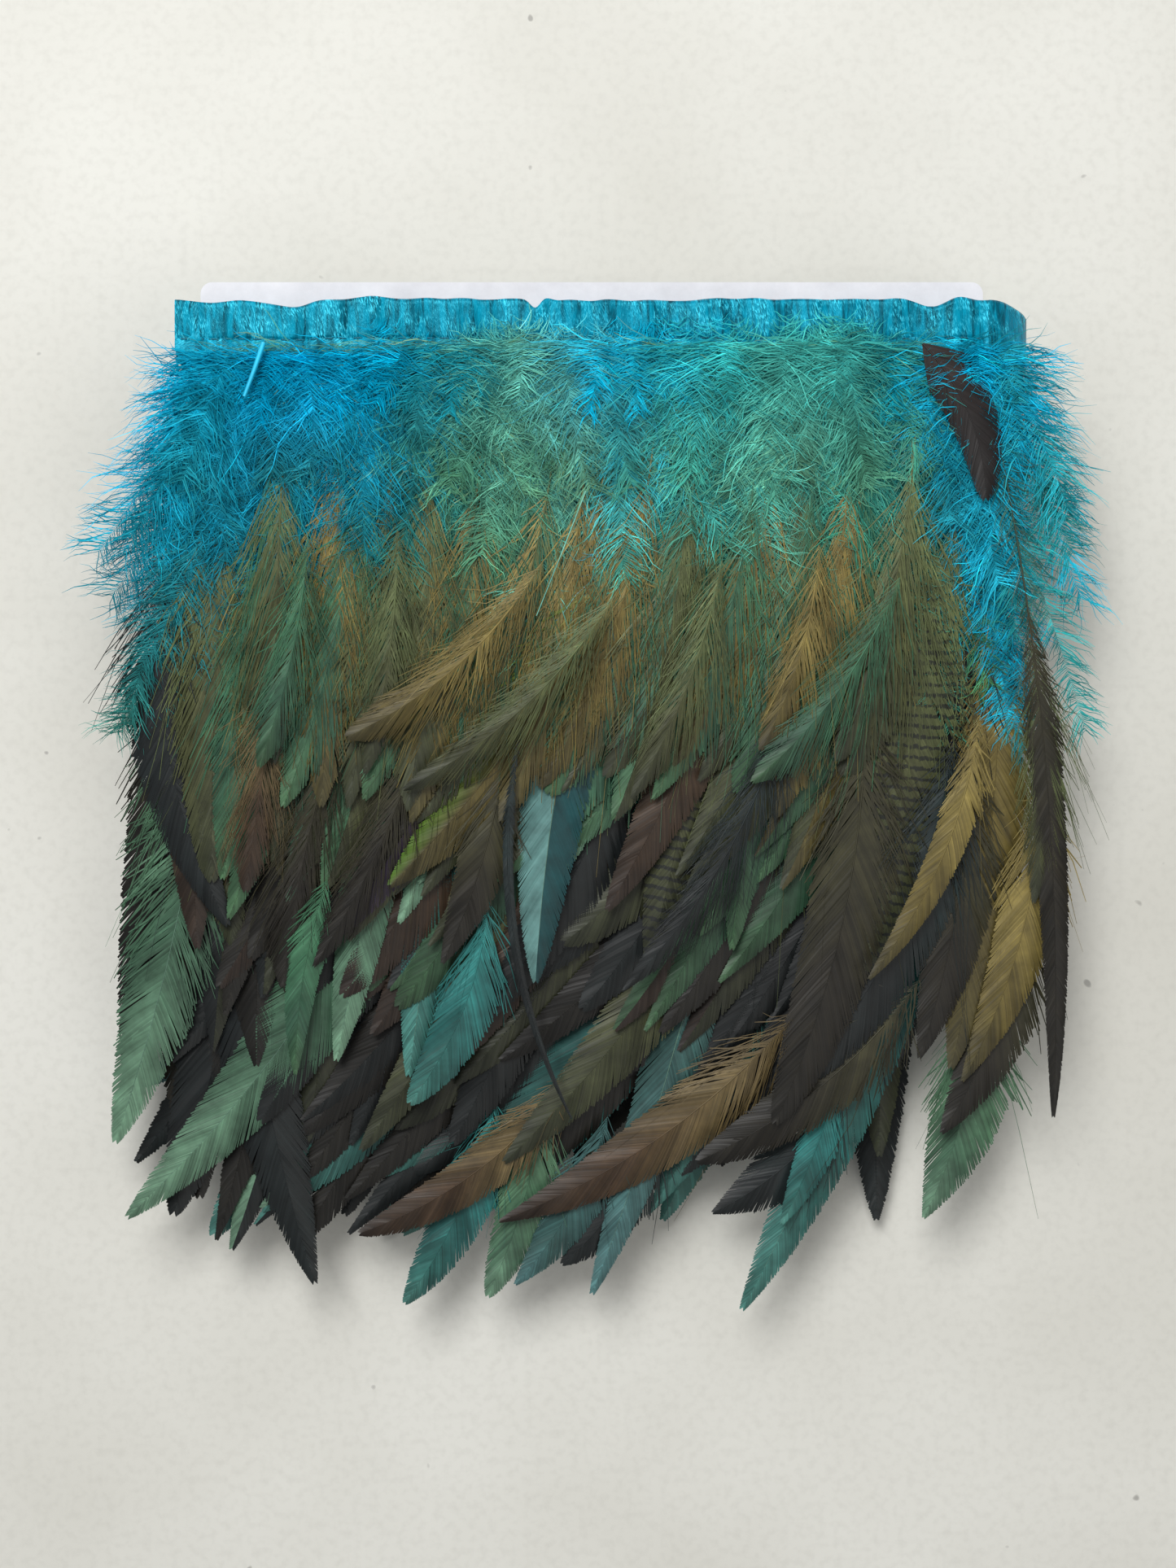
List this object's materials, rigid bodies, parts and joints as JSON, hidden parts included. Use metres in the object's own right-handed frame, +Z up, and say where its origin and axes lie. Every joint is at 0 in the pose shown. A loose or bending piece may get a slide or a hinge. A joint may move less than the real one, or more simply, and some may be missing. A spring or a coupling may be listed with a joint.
{
  "type": "feather fringe trim on card",
  "caption": "Dyed rooster feather fringe with downy bases, sewn into a folded satin tape and wound flat round a card.",
  "frame": {"origin": "middle of the underside of the wound trim as it lies on its back", "axes": "+Z up off the table, +X along the satin tape towards the bend it unwinds at, +Y from the feather tips up to the tape"},
  "size_m": [0.238, 0.2612, 0.04],
  "materials": {
    "satin": "satin",
    "thread": "matte",
    "card": "matte",
    "blue_down": "matte",
    "teal_down": "matte",
    "teal_vane": "satin",
    "sage_vane": "satin",
    "olive_vane": "satin",
    "black_vane": "satin",
    "bronze_vane": "satin"
  },
  "bodies": {
    "wound_passes": {"back_inner_feather_1": "black_vane", "back_inner_feather_2": "olive_vane", "back_inner_feather_3": "black_vane", "back_inner_feather_4": "olive_vane", "back_inner_feather_5": "black_vane", "back_inner_stitches": "thread", "back_inner_tape": "satin", "back_outer_down_left": "blue_down", "back_outer_down_right": "blue_down", "back_outer_feather_1": "olive_vane", "back_outer_feather_2": "olive_vane", "back_outer_feather_3": "olive_vane", "back_outer_feather_4": "olive_vane", "back_outer_feather_5": "olive_vane", "back_outer_feather_6": "olive_vane", "back_outer_feather_7": "olive_vane", "back_outer_stitches": "thread", "back_outer_tape": "satin", "front_inner_down_left": "blue_down", "front_inner_down_right": "blue_down", "front_inner_feather_1": "black_vane", "front_inner_feather_2": "olive_vane", "front_inner_feather_3": "black_vane", "front_inner_feather_4": "olive_vane", "front_inner_feather_5": "black_vane", "front_inner_feather_6": "olive_vane", "front_inner_stitches": "thread", "front_inner_tape": "satin", "left_tape_bend": "satin", "right_inner_tape_bend": "satin", "right_outer_tape_bend": "satin"},
    "outer_pass": {"front_outer_tape": "satin", "front_outer_stitches": "thread", "front_outer_down_left": "blue_down", "front_outer_down_middle": "teal_down", "front_outer_down_middle_left": "teal_down", "front_outer_down_right": "blue_down", "front_outer_down_right_of_middle": "teal_down", "teal_tail_feather": "teal_vane", "slate_tail_feather": "teal_vane", "blue_black_sickle_feather": "black_vane", "sage_split_feather": "sage_vane", "long_sage_feather": "sage_vane", "olive_brown_sweep_feather": "olive_vane", "olive_leaf_feather": "olive_vane", "turquoise_tipped_feather": "teal_vane", "curled_sage_feather": "sage_vane", "gold_olive_feather": "olive_vane", "dark_edge_feather": "black_vane", "green_round_feather": "sage_vane", "barred_middle_feather": "olive_vane", "barred_right_feather": "olive_vane", "violet_feather": "bronze_vane", "red_brown_feather": "bronze_vane", "two_tone_slate_feather": "teal_vane", "green_edged_olive_feather": "olive_vane", "brown_streamer_feather": "black_vane", "short_black_feather": "black_vane"},
    "card": {"winding_card": "card"}
  },
  "joints": [
    {"name": "unwind_outer_pass", "type": "hinge", "parent": "wound_passes", "child": "outer_pass", "pos_m": [0.115, 0, 0.0203], "axis": [0, 1, 0], "range_deg": [0, 180], "deforming": ["right_outer_tape_bend"]},
    {"name": "slide_card_out", "type": "slide", "parent": "wound_passes", "child": "card", "axis": [0, 1, 0], "range_m": [0, 0.08]}
  ]
}
